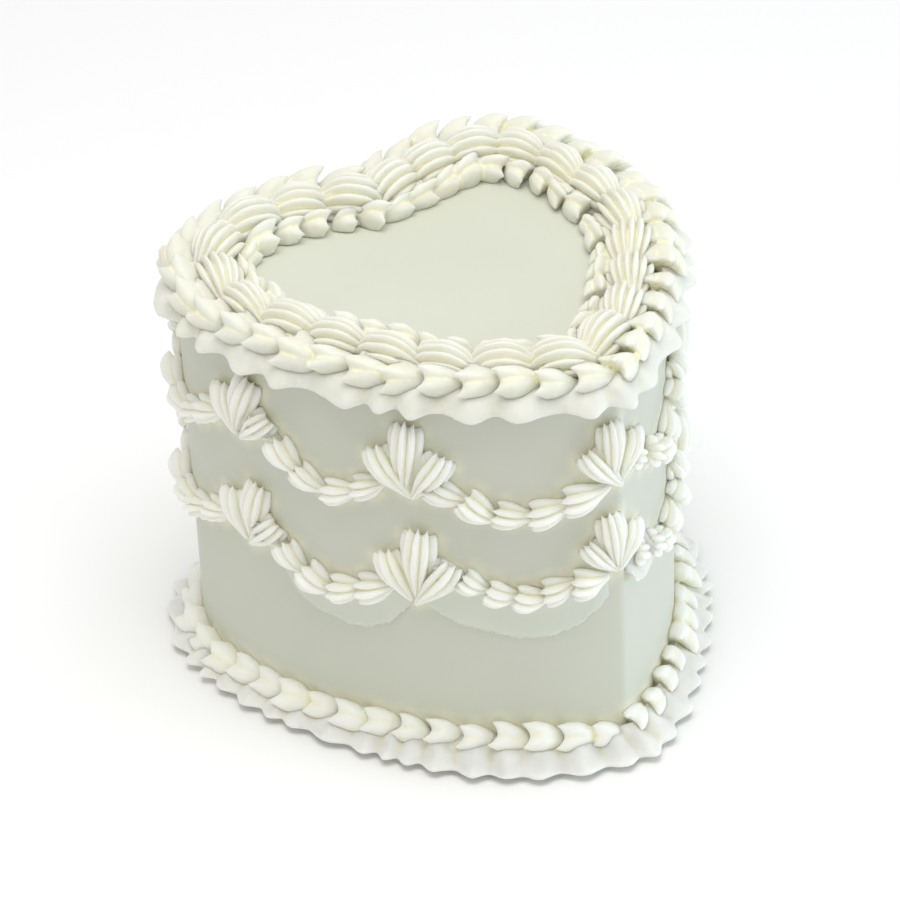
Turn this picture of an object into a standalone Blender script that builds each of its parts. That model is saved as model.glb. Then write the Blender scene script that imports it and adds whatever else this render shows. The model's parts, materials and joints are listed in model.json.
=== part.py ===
"""Tall heart-shaped cake, iced in ivory buttercream and piped by hand.

One named object for each piece: the iced body, the four rows of piping round
the top edge, two rows of swags with fleurs on the wall, and the shells and the
ruffle round the foot. Lengths are millimetres and angles are degrees until
make_object turns the finished mesh into metres.

The heart's point faces -Y and its notch +Y. A place on the wall is given as
(u, d, z): u runs along the wall from the point, up the right side, past the
notch and down the left side; d is the distance out from the wall.
"""

import math
import random

import bmesh
import bpy
import numpy as np

METRES_PER_MM = 0.001
SHARP_ANGLE = 42.0
SEED = 6

# Heart outline. Each half runs from the point past its widest place and the
# top of its lobe to the notch. The hand-iced cake has uneven halves.
NOTCH_Y = 141.9
RIGHT_HALF = {
    "side": (71.2, 84.0),
    "side_pull": 30.0,
    "lobe": (31.8, 147.0),
    "lobe_pull": 0.66,
    "point_angle": 68.0,
    "notch_angle": 58.0,
}
LEFT_HALF = {
    "side": (82.2, 115.0),
    "side_pull": 45.0,
    "lobe": (42.4, 156.2),
    "lobe_pull": 0.62,
    "point_angle": 70.0,
    "notch_angle": 48.0,
}
POINT_PULL = 0.36
DIP_PULL = 0.5
NOTCH_PULL = 0.3
CURVE_STEPS = 200
OUTLINE_STEP = 0.5
POINT_ROUNDING = 3.0

# Iced body.
CAKE_HEIGHT = 145.0
BODY_STEP = 5.0
GAP = 0.4

# Every shell swells at its head and thins to its tail: each stage is a share
# of the way to the next shell, and the share of the full size there.
TOP_SHELL_STAGES = ((0.0, 0.62), (0.10, 0.93), (0.34, 1.0), (0.68, 0.82), (0.90, 0.64))
SMALL_SHELL_STAGES = ((0.0, 0.60), (0.15, 1.0), (0.62, 0.88))
SHELL_NARROWING = 0.28

# Piping on the top edge: s is the place across the wall line, out is positive.
# A window is how far a line's outward direction is evened out on each side.
EDGE_WINDOW = 8.0
TOP_SHELL_COUNTS = {"right": 11, "left": 12}
TOP_SHELL_LINE = -12.3
TOP_SHELL_WINDOW = 14.0
TOP_SHELL_WIDTH = 12.0
TOP_SHELL_HEIGHT = 12.6
TOP_SHELL_RIBS = 4
TOP_SHELL_GROOVE = 0.88
OUTER_SHELL_COUNT = 40
OUTER_SHELL_SPAN = (-5.8, 3.2)
OUTER_SHELL_RISE = (5.1, 12.2)
# Points of the section: shares of the span from the inside out, and of the rise.
OUTER_SHELL_SECTION = ((0.0, 0.03), (0.0, 0.72), (0.34, 1.0), (0.74, 0.60), (1.0, 0.22), (0.76, 0.03))
BEAD_COUNT = 36
BEAD_LINE = -21.9
BEAD_WINDOW = 22.0
BEAD_WIDTH = 6.0
BEAD_HEIGHT = 8.6
BEAD_RIBS = 2
TOP_RUFFLE_WAVES = 32
TOP_RUFFLE_ROOT = -3.4
TOP_RUFFLE_CREST = (-1.0, 4.4)
TOP_RUFFLE_LIP = (6.2, -2.9)
TOP_RUFFLE_LIP_EDGES = (1.1, -0.8)
TOP_RUFFLE_HANG = -5.0
TOP_RUFFLE_WAVE = 2.1
TOP_RUFFLE_DROP = 0.35

# Swags and fleurs on the wall. A negative place runs down the left side.
FLEUR_PLACES = (0.0, 58.0, 115.5, 173.0, 229.6, -197.0, -132.5, -68.5)
FLEUR_SCALES = (0.88, 1.0, 0.97, 1.02, 0.98, 1.0, 0.98, 1.06)
# A swag's ends are its heights beside the two fleurs that it hangs between.
UPPER_ROW = {
    "name": "upper",
    "tips": (108.5, 106.0, 105.0, 105.5, 105.0, 106.0, 107.5, 103.8),
    "swag_ends": (
        (115.0, 116.0),
        (116.0, 114.0),
        (114.0, 115.0),
        (115.0, 114.0),
        (114.0, 116.0),
        (115.0, 117.0),
        (120.0, 110.0),
        (115.0, 111.0),
    ),
    "sags": (14.0, 13.0, 14.0, 13.5, 14.0, 13.0, 13.5, 14.5),
}
LOWER_ROW = {
    "name": "lower",
    "tips": (71.5, 66.0, 63.0, 63.5, 63.0, 63.5, 64.5, 60.8),
    "swag_ends": (
        (75.0, 74.0),
        (74.0, 72.0),
        (73.0, 74.0),
        (74.0, 72.0),
        (72.0, 73.0),
        (73.0, 74.0),
        (73.0, 65.0),
        (75.5, 73.0),
    ),
    "sags": (10.0, 10.5, 10.0, 10.5, 10.0, 10.5, 11.5, 9.0),
}
# Rows of a fleur from its tip up: height, half-width, then the place across
# and the depth of each side lobe and of the groove beside it, and the depth of
# the middle lobe.
FLEUR_ROWS = (
    (-1.0, 1.0, (0.7, 1.2), (0.35, 1.4), 1.6),
    (7.0, 5.6, (3.8, 3.6), (2.0, 3.0), 4.6),
    (14.0, 10.4, (7.0, 6.0), (3.2, 3.6), 6.6),
    (20.0, 12.4, (8.6, 6.6), (4.4, 3.4), 7.4),
    (24.0, 8.2, (7.0, 3.2), (4.8, 3.0), 7.2),
    (29.0, 3.4, (2.6, 2.2), (1.6, 3.6), 4.2),
)
SWAG_CLEARANCE = 11.8
SWAG_BEADS = 5
SWAG_END_SIZE = 0.45
# Points of a bead's section: shares of its standoff and of its half-height.
SWAG_SECTION = ((0.0, -1.0), (0.62, -0.78), (1.0, 0.0), (0.62, 0.78), (0.0, 1.0))
SWAG_HALF_HEIGHT = 4.3
SWAG_STANDOFF = 5.4
SWAG_NECK = 0.25

# Piping round the foot.
BASE_SHELL_COUNT = 46
BASE_SHELL_WINDOW = 10.0
BASE_SHELL_HEIGHT = 12.0
BASE_SHELL_REACH = 9.0
BASE_SHELL_FOOT = 3.6
# Corners of a shell: shares of its rise, and for the peak of its reach.
BASE_SHELL_SHOULDER = 0.76
BASE_SHELL_PEAK = 0.45
BASE_SHELL_LIP = 0.42
BASE_RUFFLE_WAVES = 38
BASE_RUFFLE_WINDOW = 16.0
BASE_RUFFLE_ROOT = (4.0, 3.9)
BASE_RUFFLE_MIDDLE = (8.2, 3.5)
BASE_RUFFLE_LIP_HEIGHT = 2.2
BASE_RUFFLE_LIFT = 0.3
BASE_RUFFLE_UNDERCUT = 0.6
BASE_RUFFLE_REACH = 11.8
BASE_RUFFLE_BULGE = 6.8
BASE_RUFFLE_BULGE_PLACE = -32.0
BASE_RUFFLE_BULGE_WIDTH = 48.0
BASE_RUFFLE_WAVE = 1.6

ICING = {"colour": (0.86, 0.84, 0.76, 1.0), "roughness": 0.42}
PIPING = {"colour": (0.90, 0.88, 0.79, 1.0), "roughness": 0.38}


def bezier(start, pull_start, pull_end, end, steps):
    """Points of a cubic curve, its last one left off."""
    t = np.linspace(0.0, 1.0, steps, endpoint=False)[:, None]
    start, pull_start, pull_end, end = (np.array(p, float) for p in (start, pull_start, pull_end, end))
    return (
        (1 - t) ** 3 * start
        + 3 * (1 - t) ** 2 * t * pull_start
        + 3 * (1 - t) * t**2 * pull_end
        + t**3 * end
    )


def half_outline(half):
    """Right-hand half of the heart, from the point at the origin to the notch."""
    side_x, side_y = half["side"]
    lobe_x, lobe_y = half["lobe"]
    angle = math.radians(half["point_angle"])
    reach = POINT_PULL * math.hypot(side_x, side_y)
    leave_point = (reach * math.sin(angle), reach * math.cos(angle))
    side = bezier((0, 0), leave_point, (side_x, side_y - half["side_pull"]), (side_x, side_y), CURVE_STEPS)
    lobe = bezier(
        (side_x, side_y),
        (side_x, side_y + half["lobe_pull"] * (lobe_y - side_y)),
        (lobe_x + half["lobe_pull"] * (side_x - lobe_x), lobe_y),
        (lobe_x, lobe_y),
        CURVE_STEPS,
    )
    angle = math.radians(half["notch_angle"])
    reach = NOTCH_PULL * math.hypot(lobe_x, lobe_y - NOTCH_Y)
    enter_notch = (reach * math.sin(angle), NOTCH_Y + reach * math.cos(angle))
    dip_pull = (lobe_x * (1 - DIP_PULL), lobe_y)
    dip = bezier((lobe_x, lobe_y), dip_pull, enter_notch, (0, NOTCH_Y), CURVE_STEPS)
    return np.vstack([side, lobe, dip])


class Wall:
    """The closed outline, read by its length from the point."""

    def __init__(self):
        right = half_outline(RIGHT_HALF)
        left = half_outline(LEFT_HALF)[1:] * [-1, 1]
        loop = np.vstack([right, [[0, NOTCH_Y]], left[::-1], [[0, 0]]])
        lengths = np.concatenate([[0], np.cumsum(np.linalg.norm(np.diff(loop, axis=0), axis=1))])
        self.length = lengths[-1]
        self.count = int(self.length / OUTLINE_STEP)
        self.step = self.length / self.count
        places = np.arange(self.count) * self.step
        self.points = np.stack([np.interp(places, lengths, loop[:, axis]) for axis in (0, 1)], axis=1)
        self.notch = lengths[len(right)]

    def normals(self, window):
        """Outward directions, evened out over a window on each side."""
        run = np.roll(self.points, -1, axis=0) - np.roll(self.points, 1, axis=0)
        run /= np.linalg.norm(run, axis=1)[:, None]
        reach = max(1, int(window / self.step))
        evened = sum(np.roll(run, shift, axis=0) for shift in range(-reach, reach + 1))
        evened /= np.linalg.norm(evened, axis=1)[:, None]
        return np.stack([evened[:, 1], -evened[:, 0]], axis=1)

    def read(self, table, u):
        """Value of a table at places u, going round the loop."""
        places = np.arange(self.count + 1) * self.step
        wrapped = np.vstack([table, table[:1]])
        u = np.mod(u, self.length)
        return np.stack([np.interp(u, places, wrapped[:, axis]) for axis in (0, 1)], axis=-1)


class Line:
    """A line that follows the wall at a distance s, with its own length."""

    def __init__(self, wall, s, window):
        self.wall = wall
        self.table = wall.normals(window)
        offset = wall.points + self.table * s
        closed = np.vstack([offset, offset[:1]])
        self.lengths = np.concatenate([[0], np.cumsum(np.linalg.norm(np.diff(closed, axis=0), axis=1))])
        self.length = self.lengths[-1]
        self.places = np.arange(wall.count + 1) * wall.step

    def wall_place(self, v):
        """Place u on the wall for a length v along this line."""
        return np.interp(np.mod(v, self.length), self.lengths, self.places)

    def line_place(self, u):
        """Length v along this line for a place u on the wall."""
        return np.interp(np.mod(u, self.wall.length), self.places, self.lengths)

    def row(self, u, section):
        """Section points (s, z) placed at u on the wall."""
        at = self.wall.read(self.wall.points, u)
        out = self.wall.read(self.table, u)
        return [(at[0] + out[0] * s, at[1] + out[1] * s, z) for s, z in section]


def make_material(name, look):
    """Principled material with the colour and roughness of the icing."""
    material = bpy.data.materials.new(name)
    material.use_nodes = True
    shader = material.node_tree.nodes["Principled BSDF"]
    shader.inputs["Base Color"].default_value = look["colour"]
    shader.inputs["Roughness"].default_value = look["roughness"]
    shader.inputs["Metallic"].default_value = 0.0
    material.diffuse_color = look["colour"]
    return material


def make_object(name, mesh_builder, look, collection):
    """Turn a bmesh in millimetres into a named object in metres."""
    bmesh.ops.recalc_face_normals(mesh_builder, faces=mesh_builder.faces)
    bmesh.ops.scale(mesh_builder, vec=(METRES_PER_MM,) * 3, verts=mesh_builder.verts)
    mesh = bpy.data.meshes.new(name)
    mesh_builder.to_mesh(mesh)
    mesh_builder.free()
    mesh.shade_smooth()
    mesh.set_sharp_from_angle(angle=math.radians(SHARP_ANGLE))
    mesh.materials.append(make_material(name + "_icing", look))
    item = bpy.data.objects.new(name, mesh)
    collection.objects.link(item)
    return item


def sweep(rows, closed):
    """Bmesh of rows joined side by side, closed to a ring or capped."""
    builder = bmesh.new()
    loops = [[builder.verts.new(point) for point in row] for row in rows]
    pairs = list(zip(loops, loops[1:]))
    if closed:
        pairs.append((loops[-1], loops[0]))
    for near, far in pairs:
        for index in range(len(near)):
            following = (index + 1) % len(near)
            builder.faces.new((near[index], near[following], far[following], far[index]))
    if not closed:
        builder.faces.new(loops[0])
        builder.faces.new(loops[-1][::-1])
    bmesh.ops.triangulate(builder, faces=builder.faces)
    return builder


def build_body(wall, collection):
    """Solid cake with its smooth icing: the outline pulled up to the top."""
    right = np.linspace(POINT_ROUNDING, wall.notch, int(wall.notch / BODY_STEP))
    far_end = wall.length - POINT_ROUNDING
    left = np.linspace(wall.notch, far_end, int((far_end - wall.notch) / BODY_STEP))
    places = np.concatenate([right, left[1:]])
    builder = bmesh.new()
    corners = [builder.verts.new((*wall.read(wall.points, u), 0.0)) for u in places]
    bottom = builder.faces.new(corners)
    pulled = bmesh.ops.extrude_face_region(builder, geom=[bottom])
    top = [piece for piece in pulled["geom"] if isinstance(piece, bmesh.types.BMVert)]
    bmesh.ops.translate(builder, vec=(0, 0, CAKE_HEIGHT), verts=top)
    return make_object("cake_body", builder, ICING, collection)


def narrowed(width, swell):
    """Width of a shell where it has swollen to a share of its size."""
    return width * (1 - SHELL_NARROWING * (1 - swell))


def ridged_arch(line_s, half_width, height, floor_z, ribs, groove):
    """Half-round section with grooves pressed in between its ribs."""
    section = []
    for index in range(ribs * 2):
        turn = math.pi * index / (ribs * 2 - 1)
        depth = groove if 0 < index < ribs * 2 - 1 and index % 2 == 0 else 1.0
        across = half_width * math.cos(turn) * depth
        section.append((line_s + across, floor_z + height * math.sin(turn) * depth))
    return section


def build_top_shells(wall, rng, collection):
    """Large ridged shells on the rim, heads at the notch and tails at the point."""
    line = Line(wall, TOP_SHELL_LINE, TOP_SHELL_WINDOW)
    notch = line.line_place(wall.notch)
    floor_z = CAKE_HEIGHT + GAP
    rows = []
    spans = (("right", notch, 0.0), ("left", notch, line.length))
    ordered = {}
    for side, head, tail in spans:
        count = TOP_SHELL_COUNTS[side]
        pitch = (tail - head) / count
        listed = []
        for shell in range(count):
            size = rng.uniform(0.94, 1.04)
            for phase, swell in TOP_SHELL_STAGES:
                listed.append((head + pitch * (shell + phase), swell * size))
        ordered[side] = listed
    places = ordered["right"][::-1] + ordered["left"]
    for v, swell in places:
        half_width = narrowed(TOP_SHELL_WIDTH / 2, swell)
        height = TOP_SHELL_HEIGHT * swell
        section = ridged_arch(TOP_SHELL_LINE, half_width, height, floor_z, TOP_SHELL_RIBS, TOP_SHELL_GROOVE)
        rows.append(line.row(line.wall_place(v), section))
    return make_object("top_shells", sweep(rows, True), PIPING, collection)


def build_outer_shells(wall, rng, collection):
    """Coarse two-lobed shells that lean over the top edge."""
    line = Line(wall, 0.0, EDGE_WINDOW)
    inner, outer = OUTER_SHELL_SPAN
    low, high = OUTER_SHELL_RISE
    rows = []
    for shell in range(OUTER_SHELL_COUNT):
        size = rng.uniform(0.94, 1.03)
        for phase, swell in SMALL_SHELL_STAGES:
            grow = swell * size
            span = narrowed(outer - inner, grow)
            rise = (high - low) * grow
            section = [
                (inner + span * across, CAKE_HEIGHT + low + rise * up) for across, up in OUTER_SHELL_SECTION
            ]
            v = line.length * (shell + phase) / OUTER_SHELL_COUNT
            rows.append(line.row(line.wall_place(v), section))
    return make_object("top_outer_shells", sweep(rows, True), PIPING, collection)


def build_beads(wall, rng, collection):
    """Small irregular shells round the smooth middle of the top."""
    line = Line(wall, BEAD_LINE, BEAD_WINDOW)
    floor_z = CAKE_HEIGHT + GAP
    rows = []
    for bead in range(BEAD_COUNT):
        size = rng.uniform(0.86, 1.04)
        for phase, swell in SMALL_SHELL_STAGES:
            half_width = narrowed(BEAD_WIDTH / 2, swell * size)
            height = BEAD_HEIGHT * swell * size
            section = ridged_arch(BEAD_LINE, half_width, height, floor_z, BEAD_RIBS, 1.0)
            section.insert(2, (BEAD_LINE, floor_z + height))
            v = line.length * (bead + phase) / BEAD_COUNT
            rows.append(line.row(line.wall_place(v), section))
    return make_object("top_inner_beads", sweep(rows, True), PIPING, collection)


def build_top_ruffle(wall, rng, collection):
    """Petal-tip frill that lies over the top edge and hangs out and down."""
    line = Line(wall, 0.0, EDGE_WINDOW)
    crest_s, crest_z = TOP_RUFFLE_CREST
    lip_s, lip_z = TOP_RUFFLE_LIP
    upper_edge, lower_edge = TOP_RUFFLE_LIP_EDGES
    rim = CAKE_HEIGHT
    rows = []
    for wave in range(TOP_RUFFLE_WAVES):
        size = rng.uniform(0.8, 1.15)
        for quarter in range(4):
            swing = math.cos(math.pi * quarter / 2) * TOP_RUFFLE_WAVE * size
            lip = lip_s + swing
            drop = lip_z - TOP_RUFFLE_DROP * swing
            section = (
                (TOP_RUFFLE_ROOT, rim + GAP),
                (crest_s, rim + crest_z),
                (lip, rim + drop + upper_edge),
                (lip + lower_edge, rim + drop + lower_edge),
                (GAP, rim + TOP_RUFFLE_HANG),
                (GAP, rim + GAP),
            )
            v = line.length * (wave + quarter / 4) / TOP_RUFFLE_WAVES
            rows.append(line.row(line.wall_place(v), section))
    return make_object("top_ruffle", sweep(rows, True), PIPING, collection)


def build_fleurs(wall, row, collection):
    """Shells of three lobes, one where each pair of swags meets."""
    line = Line(wall, 0.0, EDGE_WINDOW)
    for index, place in enumerate(FLEUR_PLACES):
        scale = FLEUR_SCALES[index]
        rows = []
        for up, edge, side, groove, middle in FLEUR_ROWS:
            z = row["tips"][index] + up * scale
            right = [(edge, 0.0), side, groove]
            left = [(-across, depth) for across, depth in reversed(right)]
            back = [(-edge / 2, 0.0), (0.0, 0.0), (edge / 2, 0.0)]
            section = right + [(0.0, middle)] + left + back
            rows.append(
                [line.row(place + across * scale, [(GAP + depth * scale, z)])[0] for across, depth in section]
            )
        make_object(f"{row['name']}_fleur_{index + 1}", sweep(rows, False), PIPING, collection)


def build_swags(wall, row, rng, collection):
    """Hanging runs of small ridged shells from each fleur to the next."""
    line = Line(wall, 0.0, EDGE_WINDOW)
    places = [place % wall.length for place in FLEUR_PLACES] + [wall.length]
    for index in range(len(FLEUR_PLACES)):
        near_end, far_end = row["swag_ends"][index]
        sag = row["sags"][index]
        start = places[index] + SWAG_CLEARANCE
        end = places[index + 1] - SWAG_CLEARANCE
        steps = []
        for bead in range(SWAG_BEADS):
            size = rng.uniform(0.92, 1.06)
            steps += [((bead + phase) / SWAG_BEADS, swell * size) for phase, swell in SMALL_SHELL_STAGES]
        steps.append((1.0, SWAG_END_SIZE))
        rows = []
        for part, swell in steps:
            u = start + (end - start) * part
            from_middle = 2 * part - 1
            z = near_end + (far_end - near_end) * part - sag * (1 - from_middle**2)
            half = SWAG_HALF_HEIGHT * swell
            tall = SWAG_STANDOFF * (SWAG_NECK + (1 - SWAG_NECK) * swell)
            slope = math.atan2(far_end - near_end + 4 * sag * from_middle, end - start)
            row_points = []
            for depth, side in SWAG_SECTION:
                shift_u = -math.sin(slope) * side * half
                shift_z = math.cos(slope) * side * half
                row_points.append(line.row(u + shift_u, [(GAP + depth * tall, z + shift_z)])[0])
            rows.append(row_points)
        make_object(f"{row['name']}_swag_{index + 1}", sweep(rows, False), PIPING, collection)


def build_base_shells(wall, rng, collection):
    """Coarse shells in the corner between the wall and the ruffle."""
    line = Line(wall, 0.0, BASE_SHELL_WINDOW)
    under = BASE_RUFFLE_ROOT[1] + 2 * GAP
    rows = []
    for shell in range(BASE_SHELL_COUNT):
        size = rng.uniform(0.92, 1.04)
        for phase, swell in SMALL_SHELL_STAGES:
            grow = swell * size
            rise = (BASE_SHELL_HEIGHT - under) * grow
            reach = narrowed(BASE_SHELL_REACH, grow)
            section = (
                (GAP, GAP),
                (GAP, under + rise * BASE_SHELL_SHOULDER),
                (reach * BASE_SHELL_PEAK, under + rise),
                (reach, under + rise * BASE_SHELL_LIP),
                (BASE_SHELL_FOOT, under),
                (BASE_SHELL_FOOT, GAP),
            )
            v = line.length * (shell + phase) / BASE_SHELL_COUNT
            rows.append(line.row(line.wall_place(v), section))
    return make_object("base_shells", sweep(rows, True), PIPING, collection)


def build_base_ruffle(wall, rng, collection):
    """Wavy frill that lies flat round the foot, widest on the left front."""
    line = Line(wall, 0.0, BASE_RUFFLE_WINDOW)
    root_s, root_z = BASE_RUFFLE_ROOT
    middle_s, middle_z = BASE_RUFFLE_MIDDLE
    bulge_place = BASE_RUFFLE_BULGE_PLACE % wall.length
    rows = []
    for wave in range(BASE_RUFFLE_WAVES):
        size = rng.uniform(0.75, 1.2)
        for quarter in range(4):
            v = line.length * (wave + quarter / 4) / BASE_RUFFLE_WAVES
            u = line.wall_place(v)
            apart = (u - bulge_place + wall.length / 2) % wall.length - wall.length / 2
            spread = apart / BASE_RUFFLE_BULGE_WIDTH
            reach = BASE_RUFFLE_REACH + BASE_RUFFLE_BULGE * math.exp(-spread * spread)
            swing = math.cos(math.pi * quarter / 2) * BASE_RUFFLE_WAVE * size
            lip = reach + swing
            section = (
                (root_s, 0.0),
                (root_s, root_z),
                (middle_s, middle_z + BASE_RUFFLE_LIFT * swing),
                (lip, BASE_RUFFLE_LIP_HEIGHT + BASE_RUFFLE_LIFT * swing),
                (lip - BASE_RUFFLE_UNDERCUT, 0.0),
            )
            rows.append(line.row(u, section))
    return make_object("base_ruffle", sweep(rows, True), PIPING, collection)


def centre_on_origin(items):
    """Move every mesh so that the whole stands centred over the origin."""
    corners = np.array([vertex.co[:] for item in items for vertex in item.data.vertices])
    middle = (corners.min(axis=0) + corners.max(axis=0)) / 2
    for item in items:
        for vertex in item.data.vertices:
            vertex.co.x -= middle[0]
            vertex.co.y -= middle[1]


def main():
    for item in list(bpy.data.objects):
        bpy.data.objects.remove(item)
    collection = bpy.data.collections.new("heart_cake")
    bpy.context.scene.collection.children.link(collection)
    rng = random.Random(SEED)
    wall = Wall()
    build_body(wall, collection)
    build_beads(wall, rng, collection)
    build_top_shells(wall, rng, collection)
    build_outer_shells(wall, rng, collection)
    build_top_ruffle(wall, rng, collection)
    for row in (UPPER_ROW, LOWER_ROW):
        build_fleurs(wall, row, collection)
        build_swags(wall, row, rng, collection)
    build_base_shells(wall, rng, collection)
    build_base_ruffle(wall, rng, collection)
    centre_on_origin(list(collection.objects))


main()
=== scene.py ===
# %% [markdown]
# # Dressing a piped heart cake
#
# The solid cake is loaded first, as a frame that nothing here moves. Each of
# its plain solids is then replaced by a piece with the real surface: smooth
# spread icing for the body, and piped buttercream for everything else. The
# work is done in millimetres, and each finished piece is shrunk to metres.

# %% Load the solid cake
import json
import math
import random

import bmesh
import bpy
import numpy as np
from mathutils import Matrix, Quaternion, Vector
from mathutils.kdtree import KDTree

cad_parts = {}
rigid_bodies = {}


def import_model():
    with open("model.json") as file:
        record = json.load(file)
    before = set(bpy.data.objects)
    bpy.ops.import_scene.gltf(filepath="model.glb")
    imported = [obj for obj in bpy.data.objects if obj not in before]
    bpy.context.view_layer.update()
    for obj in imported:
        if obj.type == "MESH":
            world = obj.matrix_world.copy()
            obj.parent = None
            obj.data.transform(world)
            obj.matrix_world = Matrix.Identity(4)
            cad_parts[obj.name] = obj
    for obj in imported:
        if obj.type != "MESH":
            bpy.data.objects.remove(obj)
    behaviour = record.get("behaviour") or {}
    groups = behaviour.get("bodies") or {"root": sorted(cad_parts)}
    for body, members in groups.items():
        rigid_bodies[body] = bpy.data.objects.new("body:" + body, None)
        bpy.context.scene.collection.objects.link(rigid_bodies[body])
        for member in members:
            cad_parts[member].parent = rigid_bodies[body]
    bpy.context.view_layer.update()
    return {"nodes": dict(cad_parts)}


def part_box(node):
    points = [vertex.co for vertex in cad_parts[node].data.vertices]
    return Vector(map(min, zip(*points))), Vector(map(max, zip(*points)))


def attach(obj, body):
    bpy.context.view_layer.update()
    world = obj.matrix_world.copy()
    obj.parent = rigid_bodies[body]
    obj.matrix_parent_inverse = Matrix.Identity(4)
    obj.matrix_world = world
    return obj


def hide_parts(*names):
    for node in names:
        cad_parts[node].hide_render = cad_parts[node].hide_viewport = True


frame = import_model()
MM = 0.001

# %% [markdown]
# ## Camera
#
# The picture was taken with a long lens from above the left front, so the
# heart's point stands right of the middle. A long lens flattens the cake: its
# far side is nearly as large as its near side. The place and the aim are real
# ones, found from the cake's own edges.

# %% Camera
CAMERA_PLACE = Vector((-0.7614, -1.0896, 1.0929))
CAMERA_LOOK = Vector((0.4521, 0.6540, -0.6065))
CAMERA_ROLL = math.radians(-2.75)
CAMERA_LENS = 200
SENSOR = 36

lens = bpy.data.cameras.new("portrait_lens")
lens.lens = CAMERA_LENS
lens.sensor_width = SENSOR
camera = bpy.data.objects.new("camera", lens)
bpy.context.scene.collection.objects.link(camera)
camera.location = CAMERA_PLACE
camera.rotation_mode = "QUATERNION"
camera.rotation_quaternion = CAMERA_LOOK.to_track_quat("-Z", "Y") @ Quaternion((0, 0, 1), CAMERA_ROLL)
bpy.context.scene.camera = camera
print(f"camera {CAMERA_PLACE.length:.2f} m from the cake's foot, {CAMERA_LENS} mm lens")

# %% [markdown]
# ## Light
#
# Soft light falls from above and comes back up off the table, so the walls
# are lightest at the foot. Such even light alone would hide the heart's point.
# So a large cool lamp also stands low at the right front, where it lights the
# right wall more than the left one. A white room fills the shadows.

# %% Lamps and room
ROOM_LIGHT = 0.58
KEY = {"place": (-0.1, -0.12, 1.25), "size": 0.9, "watts": 9.4, "colour": (1.0, 0.99, 0.98)}
SIDE = {"place": (1.08, -1.02, 0.18), "size": 0.7, "watts": 9.5, "colour": (0.62, 0.80, 1.0)}
LIT_POINT = Vector((0.0, 0.0, 0.08))

world = bpy.data.worlds.new("white_room")
bpy.context.scene.world = world
world.use_nodes = True
world.node_tree.nodes["Background"].inputs["Color"].default_value = (1.0, 1.0, 1.0, 1.0)
world.node_tree.nodes["Background"].inputs["Strength"].default_value = ROOM_LIGHT


def soft_lamp(name, lamp):
    """Square area lamp that faces the cake."""
    light = bpy.data.lights.new(name, "AREA")
    light.energy = lamp["watts"]
    light.size = lamp["size"]
    light.color = lamp["colour"]
    item = bpy.data.objects.new(name, light)
    bpy.context.scene.collection.objects.link(item)
    item.location = lamp["place"]
    item.rotation_euler = (LIT_POINT - Vector(lamp["place"])).to_track_quat("-Z", "Y").to_euler()


soft_lamp("key_lamp", KEY)
soft_lamp("side_lamp", SIDE)
bpy.context.scene.view_settings.view_transform = "Standard"
print("lamps:", KEY["watts"], "W above and", SIDE["watts"], "W at the right front")

# %% [markdown]
# ## Buttercream
#
# Buttercream is butter and sugar: pale ivory, satin, and slightly see-through.
# Light sinks a few millimetres in and bounces from wall to wall of a groove,
# which is why the grooves glow yellow. Many bounces would be slow to render.
# So each mesh carries a number that says how hollow it is at each point, and
# the tint follows it. Fine noise bends the surface for the whipped icing's
# small air bubbles.

# %% Recipe for an icing
EVEN_SCATTER = (1.0, 1.0, 1.0)
MOTTLE_DETAIL = 3.0
MOTTLE_BAND = (0.3, 0.7)
GRAIN_DETAIL = 4.0


def icing_material(name, look):
    """Ivory icing: scattering under the surface, soft mottling, a painted glow where the mesh is hollow,
    and fine grain.
    """
    material = bpy.data.materials.new(name)
    material.use_nodes = True
    nodes = material.node_tree.nodes
    links = material.node_tree.links
    shader = nodes["Principled BSDF"]
    shader.inputs["Roughness"].default_value = look["roughness"]
    shader.inputs["Specular IOR Level"].default_value = look["specular"]
    shader.inputs["Subsurface Weight"].default_value = look["scatter"]
    shader.inputs["Subsurface Radius"].default_value = EVEN_SCATTER
    shader.inputs["Subsurface Scale"].default_value = look["scatter_depth"]

    places = nodes.new("ShaderNodeTexCoord")
    mottle = nodes.new("ShaderNodeTexNoise")
    mottle.inputs["Scale"].default_value = look["mottle_scale"]
    mottle.inputs["Detail"].default_value = MOTTLE_DETAIL
    links.new(places.outputs["Object"], mottle.inputs["Vector"])
    tint = nodes.new("ShaderNodeValToRGB")
    for element, position, colour in zip(tint.color_ramp.elements, MOTTLE_BAND, ("deep", "pale")):
        element.position = position
        element.color = look[colour]
    links.new(mottle.outputs["Fac"], tint.inputs["Fac"])
    # Painted glow: where the hollow number is high, a warm, lighter colour is mixed in, in place of light
    # bouncing in the grooves.
    hollow = nodes.new("ShaderNodeAttribute")
    hollow.attribute_name = "hollow"
    glow = nodes.new("ShaderNodeMix")
    glow.data_type = "RGBA"
    glow.inputs["B"].default_value = look["hollow"]
    links.new(hollow.outputs["Fac"], glow.inputs["Factor"])
    links.new(tint.outputs["Color"], glow.inputs["A"])
    links.new(glow.outputs["Result"], shader.inputs["Base Color"])

    grain = nodes.new("ShaderNodeTexNoise")
    grain.inputs["Scale"].default_value = look["grain_scale"]
    grain.inputs["Detail"].default_value = GRAIN_DETAIL
    links.new(places.outputs["Object"], grain.inputs["Vector"])
    bump = nodes.new("ShaderNodeBump")
    bump.inputs["Strength"].default_value = look["grain_strength"]
    bump.inputs["Distance"].default_value = look["grain_depth"]
    links.new(grain.outputs["Fac"], bump.inputs["Height"])
    links.new(bump.outputs["Normal"], shader.inputs["Normal"])
    return material
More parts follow.
